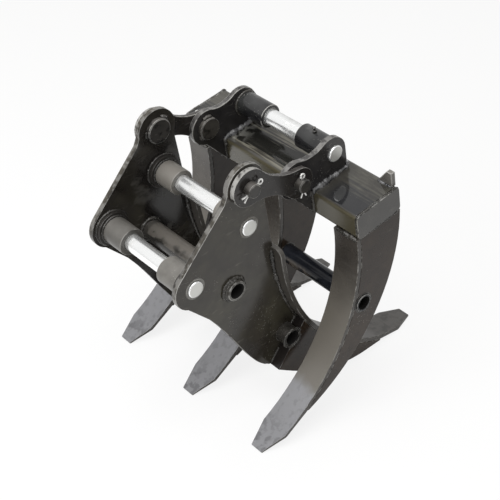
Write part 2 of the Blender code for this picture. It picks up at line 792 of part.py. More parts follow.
def build_grapple():
    for old in list(bpy.data.objects):
        bpy.data.objects.remove(old, do_unlink=True)

    paint = material("black_paint", (0.045, 0.043, 0.040), 0.35, 0.0)
    tube_paint = material("blue_black_paint", (0.028, 0.030, 0.036), 0.22, 0.0)
    plated = material("zinc_plated_steel", (0.70, 0.71, 0.70), 0.28, 1.0)
    bright = material("ground_steel", (0.80, 0.80, 0.79), 0.20, 1.0)

    stand = empty("stand", (0.0, 0.0, 0.0), 0.0, None)
    frame = empty("frame_origin", (0.0, 0.0, 0.0), 0.0, stand)
    links = empty("link_hinge", (0.0, 0.0, 0.0), math.radians(LINK_REST), stand)
    jaw = empty("jaw_hinge", (JAW_PIN[0], 0.0, JAW_PIN[1]), 0.0, stand)
    link_pins = (
        ("frame", FRAME_HEAD_DIAMETER, frame, math.radians(FRAME_COTTER_TURN)),
        ("jaw", JAW_HEAD_DIAMETER, jaw, math.radians(JAW_COTTER_TURN)),
    )

    for side, sign in SIDES:
        build_side(side, sign, paint, frame)
        build_frame_boss(
            f"dipper_boss_{side}", DIPPER_PIN, DIPPER_BOSS_DIAMETER, DIPPER_GAP, sign, paint, frame,
        )
        build_frame_boss(
            f"linkage_boss_{side}", LINKAGE_PIN, LINKAGE_BOSS_DIAMETER, LINKAGE_GAP, sign, paint, frame,
        )
        build_link(side, sign, paint, links)
        build_ear(side, sign, paint, jaw)
        build_top_boss(side, sign, paint, jaw)
        for name, head, pivot, turn in link_pins:
            pin = build_link_pin(f"{name}_link_pin_{side}", head, sign, paint, pivot)
            drill_for_cotter(pin, sign, turn, paint, pivot)
            build_cotter(f"{name}_cotter_pin_{side}", sign, turn, plated, pivot)
    build_ties(paint, tube_paint, frame, jaw)
    build_pin("dipper_pin", DIPPER_PIN, bright, frame)
    build_pin("linkage_pin", LINKAGE_PIN, bright, frame)
    build_pin("top_pin", (EAR_PITCH, 0.0), bright, jaw)
    build_beam(paint, jaw)
    build_upper_tines(paint, jaw)
    build_nipple(plated, jaw)
    build_lug(paint, jaw)

    bpy.context.view_layer.update()
    solid = [piece for piece in bpy.data.objects if piece.type == "MESH" and not piece.hide_render]
    stand_on_floor(
        stand,
        [piece for piece in solid if piece.parent == frame],
        [piece for piece in solid if piece.parent == jaw],
    )
    bpy.context.view_layer.update()


build_grapple()
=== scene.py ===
"""Log grapple: paint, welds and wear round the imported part, with its floor, light and camera."""
import math
import random

import bpy
from mathutils import Matrix, Vector
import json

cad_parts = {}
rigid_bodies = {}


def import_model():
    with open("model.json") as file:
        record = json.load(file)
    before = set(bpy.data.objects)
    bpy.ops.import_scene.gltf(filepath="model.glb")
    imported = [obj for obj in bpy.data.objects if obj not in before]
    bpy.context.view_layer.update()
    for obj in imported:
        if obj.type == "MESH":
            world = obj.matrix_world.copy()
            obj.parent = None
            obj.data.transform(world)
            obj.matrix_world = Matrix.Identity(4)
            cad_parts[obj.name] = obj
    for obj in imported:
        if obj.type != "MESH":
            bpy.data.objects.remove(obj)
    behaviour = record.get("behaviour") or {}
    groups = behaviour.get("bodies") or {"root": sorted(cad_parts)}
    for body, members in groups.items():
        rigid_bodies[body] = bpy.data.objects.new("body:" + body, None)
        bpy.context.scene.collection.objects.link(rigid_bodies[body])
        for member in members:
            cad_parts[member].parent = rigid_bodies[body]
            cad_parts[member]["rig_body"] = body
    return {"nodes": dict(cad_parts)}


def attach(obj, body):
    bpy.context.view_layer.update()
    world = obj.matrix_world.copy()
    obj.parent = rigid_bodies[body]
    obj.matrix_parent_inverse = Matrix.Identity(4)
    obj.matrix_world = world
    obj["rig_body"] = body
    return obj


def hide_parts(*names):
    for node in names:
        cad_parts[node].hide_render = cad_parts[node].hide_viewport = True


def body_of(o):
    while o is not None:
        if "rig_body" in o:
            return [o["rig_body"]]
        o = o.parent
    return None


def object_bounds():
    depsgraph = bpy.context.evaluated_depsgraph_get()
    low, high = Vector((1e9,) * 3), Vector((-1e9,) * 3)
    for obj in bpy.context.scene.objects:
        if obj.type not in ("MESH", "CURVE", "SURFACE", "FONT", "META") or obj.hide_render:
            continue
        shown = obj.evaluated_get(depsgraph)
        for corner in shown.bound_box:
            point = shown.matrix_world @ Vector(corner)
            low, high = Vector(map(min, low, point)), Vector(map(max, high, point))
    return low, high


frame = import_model()
cad_low, cad_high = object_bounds()

# Side plates
# Two 10 mm plates, flame cut and painted black after welding. The paint is glossy, mottled olive
# and brown outside as painted reflections, darkened inside as painted shade with black patches,
# gritty with dust, and rubbed through along the cut edges.

EASED_PLATE = 0.0012


class Maths:
    """A value in a material; plain arithmetic on it adds Math nodes."""

    def __init__(self, tree, socket):
        self.tree = tree
        self.socket = socket

    def add(self, kind, settings, sockets, output=0):
        """Adds a node: its settings first, then the values or links of its sockets."""
        node = self.tree.nodes.new(kind)
        for key, value in settings.items():
            setattr(node, key, value)
        for key, value in sockets.items():
            if isinstance(value, Maths):
                self.tree.links.new(value.socket, node.inputs[key])
            else:
                node.inputs[key].default_value = value
        return Maths(self.tree, node.outputs[output])

    def maths(self, operation, first, second):
        return self.add("ShaderNodeMath", {"operation": operation}, {0: first, 1: second})

    def __add__(self, other):
        return self.maths("ADD", self, other)

    def __mul__(self, other):
        return self.maths("MULTIPLY", self, other)

    def __sub__(self, other):
        return self.maths("SUBTRACT", self, other)

    def __rsub__(self, other):
        return self.maths("SUBTRACT", other, self)

    def __abs__(self):
        return self.maths("ABSOLUTE", self, 0.0)

    __radd__ = __add__
    __rmul__ = __mul__

    def between(self, low, high):
        """0 up to low, 1 from high on, and a soft step in the middle."""
        return self.add(
            "ShaderNodeMapRange", {"clamp": True, "interpolation_type": "SMOOTHSTEP"},
            {"Value": self, "From Min": low, "From Max": high},
        )

    def mix(self, first, second):
        """The first colour where the value is 0, the second where it is 1."""
        return self.add("ShaderNodeMix", {"data_type": "RGBA"}, {0: self, 6: first, 7: second}, 2)

    def noise(self, scale, detail=3.0, stretch=(1.0, 1.0, 1.0)):
        place = self.add("ShaderNodeMapping", {}, {"Vector": self, "Scale": stretch})
        return self.add("ShaderNodeTexNoise", {}, {"Vector": place, "Scale": scale, "Detail": detail})

    def dots(self, scale, size):
        """Round dots, one to a cell, of which a share is large enough to show."""
        far = self.add("ShaderNodeTexVoronoi", {}, {"Vector": self, "Scale": scale, "Randomness": 1.0})
        return 1.0 - far.between(size, size * 1.6)

    def part(self, index):
        """One of the three numbers of a place or a direction."""
        return self.add("ShaderNodeSeparateXYZ", {}, {0: self}, index)

    def from_axis(self, centre):
        """How far a place is from the line straight across the tool through this centre."""
        flat = self.add("ShaderNodeVectorMath", {"operation": "MULTIPLY"}, {0: self, 1: (1.0, 0.0, 1.0)})
        gap = flat.add(
            "ShaderNodeVectorMath", {"operation": "SUBTRACT"}, {0: flat, 1: (centre.x, 0.0, centre.z)},
        )
        return gap.add("ShaderNodeVectorMath", {"operation": "LENGTH"}, {0: gap}, 1)


def new_material(name):
    material = bpy.data.materials.new(name)
    material.use_nodes = True
    return material, material.node_tree, material.node_tree.nodes["Principled BSDF"]


def surface(material):
    """Where a point of the surface is, and which way it faces."""
    tree = material.node_tree
    coordinates = tree.nodes.new("ShaderNodeTexCoord")
    return Maths(tree, coordinates.outputs["Object"]), Maths(tree, coordinates.outputs["Normal"])


def link(tree, value, socket):
    tree.links.new(value.socket, socket)


def over(material, mask, colour, roughness):
    """Lays another finish over a paint where the mask is 1."""
    tree = material.node_tree
    shader = tree.nodes["Principled BSDF"]
    under = Maths(tree, shader.inputs["Base Color"].links[0].from_socket)
    link(tree, mask.mix(under, (*colour, 1.0)), shader.inputs["Base Color"])
    under_rough = Maths(tree, shader.inputs["Roughness"].links[0].from_socket)
    link(tree, under_rough * (1.0 - mask) + mask * roughness, shader.inputs["Roughness"])


GRIT = (0.30, 0.285, 0.26)
RUBBED_EDGE = (0.27, 0.265, 0.25)
SCUFFED_RIM = (0.24, 0.235, 0.225)


def black_paint(name, base, reflected_tone, dusty, gloss, dust, wear, shine=0.40, ripple=0.30):
    """Gloss black machine paint: painted reflection clouds, settled dust, grit, scuffs and rubbed edges."""
    material, tree, shader = new_material(name)
    place, normal = surface(material)
    # Clouds of a second tone are painted reflections of the surroundings in the gloss.
    reflection_clouds = place.noise(9.0, 4.0).between(0.40, 0.62)
    film = place.noise(55.0, 6.0).between(0.35, 0.72)
    colour = reflection_clouds.mix((*base, 1.0), (*reflected_tone, 1.0))
    shade = tuple(0.55 * part for part in base)
    colour = (film * 0.5).mix(colour, (*shade, 1.0))
    settled = normal.part(2).between(0.15, 0.95) * place.noise(24.0, 6.0).between(0.30, 0.70) * dust
    colour = settled.mix(colour, (*dusty, 1.0))
    scuffs = place.noise(30.0, 8.0, (1.0, 1.0, 5.0)).between(0.62, 0.72) * wear * 0.35
    colour = scuffs.mix(colour, (*dusty, 1.0))
    grit = place.dots(240.0, 0.11) * place.noise(16.0, 3.0).between(0.52, 0.66)
    colour = (grit * 0.8).mix(colour, (*GRIT, 1.0))
    edge = place.add("ShaderNodeAttribute", {"attribute_name": "edge"}, {}, 2)
    rubbed = edge * place.noise(60.0, 8.0).between(0.54 - 0.22 * wear, 0.66 - 0.16 * wear)
    colour = rubbed.mix(colour, (*RUBBED_EDGE, 1.0))
    link(tree, colour, shader.inputs["Base Color"])
    rough = gloss + film * 0.07 + settled * 0.30 + grit * 0.3 + rubbed * 0.2
    link(tree, rough, shader.inputs["Roughness"])
    shader.inputs["Specular IOR Level"].default_value = shine
    relief = place.noise(420.0, 3.0) * 0.25 + place.noise(60.0, 3.0) * 0.35 + grit * 0.5
    bump = relief.add("ShaderNodeBump", {}, {"Height": relief, "Strength": ripple, "Distance": 0.0004})
    link(tree, bump, shader.inputs["Normal"])
    return material


def select_only(piece):
    bpy.ops.object.select_all(action="DESELECT")
    piece.select_set(True)
    bpy.context.view_layer.objects.active = piece


def eased(piece, paint, easing):
    """Eases a piece's sharp edges; the eased faces carry the mark 'edge' for the paint."""
    mesh = piece.data
    mesh.materials.clear()
    mesh.materials.append(paint)
    mesh.materials.append(paint)
    round_off = piece.modifiers.new("easing", "BEVEL")
    round_off.width = easing
    round_off.segments = 2
    round_off.limit_method = "ANGLE"
    round_off.angle_limit = math.radians(35.0)
    round_off.material = 1
    bpy.ops.object.modifier_apply(modifier="easing")
    bpy.ops.object.shade_smooth_by_angle(angle=math.radians(40.0))
    flatten = piece.modifiers.new("flatten", "WEIGHTED_NORMAL")
    flatten.keep_sharp = True
    bpy.ops.object.modifier_apply(modifier="flatten")
    mark = mesh.attributes.new("edge", "FLOAT", "FACE")
    for face in mesh.polygons:
        mark.data[face.index].value = float(face.material_index == 1)
        face.material_index = 0
    mesh.materials.pop(index=1)


def dressed(node, paint, easing=0.0010):
    """A CAD piece with its doubles merged, its flats made whole and its edges eased."""
    mesh = frame["nodes"][node].data.copy()
    piece = bpy.data.objects.new(f"{node}_painted", mesh)
    bpy.context.scene.collection.objects.link(piece)
    select_only(piece)
    bpy.ops.object.mode_set(mode="EDIT")
    bpy.ops.mesh.select_all(action="SELECT")
    bpy.ops.mesh.remove_doubles(threshold=0.00002)
    bpy.ops.mesh.dissolve_limited(angle_limit=math.radians(0.6))
    bpy.ops.object.mode_set(mode="OBJECT")
    bpy.ops.mesh.customdata_custom_splitnormals_clear()
    eased(piece, paint, easing)
    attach(piece, body_of(frame["nodes"][node])[0])
    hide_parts(node)
    return piece


plate_paint = black_paint(
    "plate_paint", (0.031, 0.027, 0.021), (0.044, 0.040, 0.028), (0.14, 0.13, 0.11), 0.15, 0.4, 1.0,
)
plate_place = surface(plate_paint)[0]
# Darker polygon patches on the gloss are painted reflections.
painted_reflection_patches = plate_place.add(
    "ShaderNodeTexVoronoi", {"distance": "CHEBYCHEV"}, {"Vector": plate_place, "Scale": 26.0}, 1,
).part(0)
over(plate_paint, painted_reflection_patches.between(0.55, 0.95) * 0.35, (0.022, 0.019, 0.016), 0.12)
# The inner faces are darkened as painted shade between the plates, with black glossy patches over it.
inner_face = 1.0 - abs(plate_place.part(1)).between(0.1075, 0.1100)
over(plate_paint, inner_face * 0.45, (0.013, 0.012, 0.011), 0.14)
dark_inner_patches = plate_place.noise(14.0, 9.0).between(0.42, 0.56)
over(plate_paint, inner_face * dark_inner_patches * 0.75, (0.008, 0.007, 0.007), 0.10)
dried = plate_place.noise(19.0, 7.0, (1.0, 1.0, 1.6)).between(0.56, 0.66)
over(plate_paint, inner_face * dried * 0.45, (0.085, 0.081, 0.072), 0.28)


def scuff_rim(material, share):
    """Scuffs along the cut rim of a plate, which faces neither side."""
    place, normal = surface(material)
    rim = 1.0 - abs(normal.part(1)).between(0.25, 0.75)
    over(material, rim * place.noise(75.0, 8.0).between(0.44, 0.60) * share, SCUFFED_RIM, 0.35)


scuff_rim(plate_paint, 0.45)
for side in ("right", "left"):
    dressed(f"side_plate_{side}", plate_paint, EASED_PLATE)


# Lower tines
# A 9 mm strap is rolled to the tine's curve and welded across the plate's rear edge, with a closed
# box behind it. Logs and gravel have polished the strap to a paler grey towards the point.

def tine_paint(name, base, brown, brown_span, polished, bare_span, gloss):
    """Black paint rubbed brown half way down the curve, and to scuffed grey steel at the point."""
    # A lighter tone for the painted reflection clouds.
    reflected_tone = tuple(1.35 * part for part in base)
    material = black_paint(name, base, reflected_tone, (0.17, 0.16, 0.15), gloss, 0.4, 0.45)
    place, normal = surface(material)
    face = 1.0 - abs(normal.part(1)).between(0.60, 0.90)
    ragged = place.part(2) + place.noise(22.0, 6.0) * 0.05
    rubbed = (1.0 - ragged.between(*brown_span)) * face
    over(material, rubbed * 0.85, brown, gloss + 0.06)
    bare = (1.0 - ragged.between(*bare_span)) * face
    scratches = 0.75 + place.noise(130.0, 8.0, (1.0, 1.0, 0.25)) * 0.5
    over(material, bare * scratches, polished, gloss + 0.12)
    scored = place.noise(95.0, 10.0, (1.0, 1.0, 0.35)).between(0.52, 0.62) * bare
    over(material, scored * 0.30, tuple(0.45 * part for part in polished), gloss + 0.05)
    point = 1.0 - place.part(2).between(0.010, 0.050)
    chipped = place.noise(60.0, 8.0).between(0.50, 0.60) * point * face
    over(material, chipped * 0.55, tuple(0.35 * part for part in polished), gloss + 0.05)
    return material


lower_strap_paint = tine_paint(
    "lower_strap_paint", (0.046, 0.042, 0.036), (0.052, 0.047, 0.041), (0.31, 0.46),
    (0.085, 0.081, 0.076), (0.10, 0.30), 0.24,
)
cheek_paint = black_paint(
    "cheek_paint", (0.028, 0.020, 0.015), (0.041, 0.029, 0.020), (0.13, 0.12, 0.10), 0.15, 0.30, 0.35, 0.24,
)
# Box faces turned to the front are painted near black as shade under the strap.
shaded_box_front = 1.0 - surface(cheek_paint)[1].part(0).between(-0.70, -0.40)
over(cheek_paint, shaded_box_front, (0.012, 0.010, 0.009), 0.22)
for side in ("right", "left"):
    dressed(f"lower_tine_face_{side}", lower_strap_paint)
    dressed(f"lower_tine_box_{side}", cheek_paint)


# Ties, bosses and pins of the frame
# Pipe stubs tie the plates, painted dark in the bore as shade. The bosses are turned from bar with a collar
# against the plate, sprayed thin and dusty. The pins are ground and plated, bright and dry.

LEAN = math.radians(10.733875)
LINK_PIN = Vector((-0.141586, 0.0, 0.499866))
DIPPER_PIN = (-0.132, -0.126)
LINKAGE_PIN = (-0.009, -0.082)
UPPER_TIE = (-0.061, -0.182)
LOWER_TIE = (0.024, -0.361)
UPPER_TIE_BORE = 0.0142
LOWER_TIE_BORE = 0.0145
DIPPER_BODY = 0.0245
LINKAGE_BODY = 0.023
EASED_UPPER_TIE = 0.0020
EASED_LOWER_TIE = 0.0014
EASED_PIN = 0.0008
BORE_SHADE = (0.004, 0.0035, 0.003)


def leaned(origin, x, y, z):
    """A place in the upright drawing of the frame or the jaw, on the leaning tool."""
    return origin + Vector((
        x * math.cos(LEAN) - z * math.sin(LEAN), y, x * math.sin(LEAN) + z * math.cos(LEAN),
    ))


def shaded_bore(material, origin, centre, bore):
    """Painted shade inside a pipe: near black down its bore."""
    away = surface(material)[0].from_axis(leaned(origin, centre[0], 0.0, centre[1]))
    over(material, 1.0 - away.between(bore, bore + 0.0006), BORE_SHADE, 0.9)


boss_paint = black_paint(
    "boss_paint", (0.105, 0.100, 0.091), (0.140, 0.134, 0.121), (0.21, 0.20, 0.185), 0.30, 0.5, 0.8,
)
boss_place = surface(boss_paint)[0]
from_linkage = boss_place.from_axis(leaned(LINK_PIN, LINKAGE_PIN[0], 0.0, LINKAGE_PIN[1]))
over(boss_paint, (1.0 - from_linkage.between(0.040, 0.044)) * 0.6, (0.165, 0.154, 0.137), 0.28)
# The far dipper boss is darkened as painted shade.
shaded_far_dipper_boss = from_linkage.between(0.060, 0.070) * boss_place.part(1).between(-0.01, 0.01)
over(boss_paint, shaded_far_dipper_boss * 0.4, (0.045, 0.043, 0.039), 0.30)
for centre, body_radius in ((DIPPER_PIN, DIPPER_BODY), (LINKAGE_PIN, LINKAGE_BODY)):
    away = boss_place.from_axis(leaned(LINK_PIN, centre[0], 0.0, centre[1]))
    near_plate = abs(boss_place.part(1)).between(0.094, 0.098)
    collar = away.between(body_radius + 0.0005, body_radius + 0.0020)
    over(boss_paint, collar * near_plate * (1.0 - away.between(0.036, 0.038)), (0.022, 0.020, 0.018), 0.25)
collar_paint = black_paint(
    "collar_paint", (0.030, 0.028, 0.025), (0.050, 0.046, 0.040), (0.15, 0.14, 0.13), 0.20, 0.5, 1.0,
)
smears = surface(collar_paint)[0].noise(70.0, 8.0).between(0.50, 0.62)
over(collar_paint, smears * 0.7, (0.008, 0.008, 0.008), 0.12)
upper_tie_paint = black_paint(
    "upper_tie_paint", (0.018, 0.017, 0.015), (0.058, 0.054, 0.047), (0.12, 0.11, 0.10), 0.22, 0.5, 0.55,
)
tie_place, tie_normal = surface(upper_tie_paint)
# The top of the tube between the plates gets a pale band: dust together with a painted highlight.
tie_top = tie_normal.part(2).between(0.25, 0.45) * (1.0 - abs(tie_place.part(1)).between(0.088, 0.094))
tie_dust_and_highlight = tie_top * tie_place.noise(26.0, 5.0).between(0.36, 0.48)
over(upper_tie_paint, tie_dust_and_highlight * 0.8, (0.118, 0.108, 0.095), 0.32)
shaded_bore(upper_tie_paint, LINK_PIN, UPPER_TIE, UPPER_TIE_BORE)
lower_tie_paint = black_paint(
    "lower_tie_paint", (0.026, 0.024, 0.021), (0.046, 0.042, 0.036), (0.14, 0.13, 0.12), 0.22, 0.4, 0.55,
)
shaded_bore(lower_tie_paint, LINK_PIN, LOWER_TIE, LOWER_TIE_BORE)
for side in ("right", "left"):
    dressed(f"dipper_boss_{side}", boss_paint, EASED_PLATE)
    dressed(f"linkage_boss_{side}", boss_paint, EASED_PLATE)
dressed("upper_tie_tube", upper_tie_paint, EASED_UPPER_TIE)
dressed("lower_tie_tube", lower_tie_paint, EASED_LOWER_TIE)


def bright_steel(name, bright, dull, rough, along):
    """Plated steel with dull streaks along the piece, faint scratches and a few stains."""
    material, tree, shader = new_material(name)
    place, normal = surface(material)
    streaks = place.noise(42.0, 3.0, along).between(0.42, 0.76)
    stains = place.noise(38.0, 6.0).between(0.58, 0.78)
    colour = (streaks * 0.45).mix((*bright, 1.0), (*dull, 1.0))
    colour = (stains * 0.45).mix(colour, (0.34, 0.33, 0.30, 1.0))
    end = abs(normal.part(1)).between(0.90, 0.98)
    colour = (end * 0.75).mix(colour, (0.50, 0.50, 0.47, 1.0))
    link(tree, colour, shader.inputs["Base Color"])
    link(tree, rough + streaks * 0.10 + stains * 0.2 + end * 0.2, shader.inputs["Roughness"])
    shader.inputs["Metallic"].default_value = 0.85
    relief = place.noise(260.0, 2.0, along)
    bump = relief.add("ShaderNodeBump", {}, {"Height": relief, "Strength": 0.03, "Distance": 0.0002})
    link(tree, bump, shader.inputs["Normal"])
    return material


pin_steel = bright_steel("pin_steel", (0.96, 0.97, 0.97), (0.62, 0.63, 0.63), 0.20, (1.0, 0.06, 1.0))
for node in ("dipper_pin", "linkage_pin", "top_pin"):
    dressed(node, pin_steel, EASED_PIN)


# Links, link pins and cotters
# The links are cut from 9 mm plate and run on headed pins. A cotter through each pin's drilled stub
# keeps them on. The rim of the front eye is scuffed bare; the cotters are zinc plated wire.

link_paint = black_paint(
    "link_paint", (0.015, 0.013, 0.012), (0.026, 0.023, 0.021), (0.11, 0.10, 0.095), 0.17, 0.4, 1.0,
)
link_place, link_normal = surface(link_paint)
link_rim = 1.0 - abs(link_normal.part(1)).between(0.25, 0.75)
front_eye = 1.0 - link_place.from_axis(LINK_PIN).between(0.036, 0.044)
scuffed_eye = link_rim * front_eye * link_place.noise(110.0, 8.0).between(0.30, 0.56)
over(link_paint, scuffed_eye * 0.8, (0.33, 0.325, 0.31), 0.35)
cotter_zinc = bright_steel("cotter_zinc", (0.90, 0.90, 0.88), (0.60, 0.60, 0.58), 0.28, (1.0, 1.0, 1.0))
for side in ("right", "left"):
    dressed(f"link_{side}", link_paint, EASED_PLATE)
    for joint in ("frame", "jaw"):
        dressed(f"{joint}_link_pin_{side}", collar_paint, EASED_PLATE)
        cotter = frame["nodes"][f"{joint}_cotter_pin_{side}"]
        cotter.data.materials.clear()
        cotter.data.materials.append(cotter_zinc)


# Ears and top bosses
# An ear stands on the crossbeam over each link, with its toe down the beam's front. Its plain boss
# carries the top pin, and a painted grease nipple is screwed into the right boss.

ear_paint = black_paint(
    "ear_paint", (0.020, 0.019, 0.020), (0.034, 0.032, 0.031), (0.13, 0.125, 0.12), 0.14, 0.5, 1.0,
)
top_boss_paint = black_paint(
    "top_boss_paint", (0.010, 0.010, 0.011), (0.022, 0.023, 0.022), (0.10, 0.10, 0.10),
    0.05, 0.25, 0.9, 0.50, 0.10,
)
scuff_rim(ear_paint, 0.5)
for side in ("right", "left"):
    dressed(f"ear_{side}", ear_paint, EASED_PLATE)
    dressed(f"top_boss_{side}", top_boss_paint, EASED_PLATE)
nipple = frame["nodes"]["grease_nipple"]
nipple.data.materials.clear()
nipple.data.materials.append(collar_paint)


# Crossbeam
# A length of 100 x 50 mm box section with an end cap welded on and ground at both ends. Its top is
# brushed olive and dusty with a painted sky reflection along both edges, with painted dark
# reflections of the top pin between the ears and of the ears beyond them.

JAW_PIN = Vector((-0.033294, 0.0, 0.461164))
BEAM_FRONT = 0.030
BEAM_BACK = 0.130
BEAM_TOP = -0.044
BEAM_BOTTOM = -0.094

beam_paint = black_paint(
    "beam_paint", (0.030, 0.028, 0.025), (0.046, 0.043, 0.036), (0.12, 0.115, 0.10),
    0.03, 0.25, 0.7, 0.60, 0.10,
)
beam_place, beam_normal = surface(beam_paint)
front_edge = leaned(JAW_PIN, BEAM_FRONT, 0.0, BEAM_TOP)
level = (beam_place.part(0) - front_edge.x) * math.cos(LEAN)
depth = level + (beam_place.part(2) - front_edge.z) * math.sin(LEAN)
brush = beam_place.noise(190.0, 8.0, (1.0, 0.05, 1.0))
wander = depth + (brush - 0.5) * 0.065
# Along the middle of the top runs a painted dark reflection of the top pin and its bosses.
painted_pin_reflection = wander.between(0.016, 0.024) * (1.0 - wander.between(0.050, 0.060))
top_face = beam_normal.part(2).between(0.80, 0.95)
top_between_ears = top_face * (1.0 - abs(beam_place.part(1)).between(0.098, 0.118))
top_beyond_ears = top_face * abs(beam_place.part(1)).between(0.120, 0.150)
# Either side of it the top is brushed olive and dusty, lightened with a painted sky reflection.
brushed_and_sky_reflection = top_between_ears * (1.0 - painted_pin_reflection) * brush.between(0.40, 0.58)
over(beam_paint, brushed_and_sky_reflection * 0.80, (0.175, 0.166, 0.134), 0.32)
over(beam_paint, top_between_ears * painted_pin_reflection * 0.9, (0.010, 0.010, 0.009), 0.10)
far_foot = beam_place.part(1).between(0.062, 0.100) * beam_place.noise(70.0, 9.0).between(0.44, 0.60)
over(beam_paint, top_between_ears * far_foot * 0.6, (0.21, 0.207, 0.190), 0.32)
back_half = wander.between(0.035, 0.060)
brush_lines = beam_place.noise(300.0, 4.0, (1.0, 0.10, 1.0)).between(0.45, 0.62)
over(beam_paint, top_beyond_ears * brush_lines * back_half * 0.25, (0.12, 0.118, 0.095), 0.14)
# The front half of the top beyond the ears is painted near black as a reflection of the ears.
over(beam_paint, top_beyond_ears * (1.0 - back_half) * 0.8, (0.012, 0.013, 0.016), 0.04)
front_face = 1.0 - beam_normal.part(0).between(-0.90, -0.60)
over(beam_paint, front_face * 0.9, (0.058, 0.051, 0.030), 0.26)
for node in ("crossbeam", "crossbeam_cap_right", "crossbeam_cap_left"):
    dressed(node, beam_paint, EASED_PLATE)


# Horn
# A 9 mm plate stands across the beam's top at its back edge near the right end, square outside and
# cut aslant inside. Its foot is welded along the front.

HORN_THICK = 0.009
HORN_HIGH = 0.0290
HORN_OUTER = -0.2125
HORN_INNER_FOOT = -0.1800
HORN_INNER_TOP = -0.2013
HORN_SET_IN = 0.001
EASED_HORN = 0.0014

bpy.ops.object.select_all(action="DESELECT")
bpy.ops.mesh.primitive_cube_add(size=1.0)
horn = bpy.context.view_layer.objects.active
horn.name = "horn"
bpy.ops.object.mode_set(mode="EDIT")
bpy.ops.mesh.select_all(action="SELECT")
bpy.ops.transform.resize(value=(HORN_THICK, HORN_INNER_FOOT - HORN_OUTER, HORN_HIGH))
bpy.ops.transform.translate(value=(
    BEAM_BACK - HORN_SET_IN - HORN_THICK / 2, (HORN_INNER_FOOT + HORN_OUTER) / 2, BEAM_TOP + HORN_HIGH / 2,
))
bpy.ops.mesh.bisect(
    plane_co=(BEAM_BACK, HORN_INNER_FOOT, BEAM_TOP),
    plane_no=(0.0, HORN_HIGH, HORN_INNER_FOOT - HORN_INNER_TOP), clear_outer=True, use_fill=True,
)
bpy.ops.object.mode_set(mode="OBJECT")
horn.data.transform(Matrix.Translation(JAW_PIN) @ Matrix.Rotation(-LEAN, 4, "Y"))
select_only(horn)
eased(horn, boss_paint, EASED_HORN)
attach(horn, "upper_jaw")
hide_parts("beam_lug")


# Upper tines
# Three tines like the lower ones hang from the beam: an 8 mm rolled strap with a closed box behind
# it. The straps are rubbed brown half way down and bare grey at the points.

upper_strap_paint = tine_paint(
    "upper_strap_paint", (0.040, 0.035, 0.030), (0.122, 0.112, 0.095), (0.21, 0.36),
    (0.196, 0.197, 0.207), (0.098, 0.122), 0.24,
)
for side in ("right", "middle", "left"):
    dressed(f"upper_tine_face_{side}", upper_strap_paint)
    dressed(f"upper_tine_box_{side}", cheek_paint)


# Backs of the upper points
# Behind each strap the closed box runs out in a thin wedge, welded shut and ground down to nothing
# where the point starts.

FACE_CENTRE = (-0.29689, -0.10263)
STRAP_REAR = 0.3322
WEDGE_FROM = -58.2
WEDGE_TO = -69.8
WEDGE_DEPTH = 0.0040
WEDGE_END_DEPTH = 0.0002
EASED_WEDGE = 0.0004
WEDGE_CLEARANCE = 0.0004
TINE_MIDDLES = (-0.1905, 0.0, 0.1905)
HALF_TINE = 0.0275


def ring(origin, centre, y, radius, start=0.0, end=360.0):
    """Places round a tube or boss, in degrees from the back, at one distance from the middle."""
    count = max(8, int(abs(end - start) / 4))
    places = []
    for step in range(count + 1):
        angle = math.radians(start + (end - start) * step / count)
        places.append(leaned(
            origin, centre[0] + radius * math.cos(angle), y, centre[1] + radius * math.sin(angle),
        ))
    return places


wedge_arc = ring(JAW_PIN, FACE_CENTRE, 0.0, STRAP_REAR, WEDGE_FROM, WEDGE_TO)
wedge_run = wedge_arc[-1] - wedge_arc[0]
wedge_length = wedge_run.length
down_strap = wedge_run.normalized()
across = Vector((0.0, 1.0, 0.0))
wedge_turn = Matrix((down_strap, across, down_strap.cross(across))).transposed().to_4x4()
for side, middle in zip(("right", "middle", "left"), TINE_MIDDLES):
    bpy.ops.object.select_all(action="DESELECT")
    bpy.ops.mesh.primitive_cube_add(size=1.0)
    wedge = bpy.context.view_layer.objects.active
    wedge.name = f"upper_tine_wedge_{side}"
    bpy.ops.object.mode_set(mode="EDIT")
    bpy.ops.mesh.select_all(action="SELECT")
    bpy.ops.transform.resize(value=(wedge_length, 2 * HALF_TINE - WEDGE_CLEARANCE, WEDGE_DEPTH))
    bpy.ops.transform.translate(value=(wedge_length / 2, 0.0, WEDGE_DEPTH / 2))
    bpy.ops.mesh.bisect(
        plane_co=(wedge_length, 0.0, WEDGE_END_DEPTH),
        plane_no=(WEDGE_DEPTH, 0.0, wedge_length), clear_outer=True, use_fill=True,
    )
    bpy.ops.object.mode_set(mode="OBJECT")
    wedge.data.transform(Matrix.Translation(wedge_arc[0] + middle * across) @ wedge_turn)
    select_only(wedge)
    eased(wedge, cheek_paint, EASED_WEDGE)
    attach(wedge, "upper_jaw")


# Tube of the upper jaw
# A pipe sprayed blue-black before it was fitted runs through all three tines, just behind the
# straps. It is paler below its top between the right and middle tines, and painted dark inside as shade.

JAW_TIE = (0.02622, -0.23846)
JAW_TIE_BORE = 0.0134

tube_paint = black_paint(
    "tube_paint", (0.007, 0.008, 0.011), (0.015, 0.017, 0.022), (0.07, 0.07, 0.08),
    0.07, 0.1, 0.7, 0.25, 0.10,
)
tube_place, tube_normal = surface(tube_paint)
along_tube = tube_place.part(1)
# Between the right and middle tines the tube is paler in patches on its sides and underside.
stretch_right_to_middle = along_tube.between(-0.112, -0.095) * (1.0 - along_tube.between(-0.050, -0.038))
off_top_stretch = stretch_right_to_middle * (1.0 - tube_normal.part(2).between(0.10, 0.50))
pale_patches = off_top_stretch * tube_place.noise(40.0, 5.0).between(0.38, 0.50)
over(tube_paint, pale_patches * 0.8, (0.075, 0.064, 0.052), 0.30)
shaded_bore(tube_paint, JAW_PIN, JAW_TIE, JAW_TIE_BORE)
dressed("jaw_tie_tube", tube_paint)


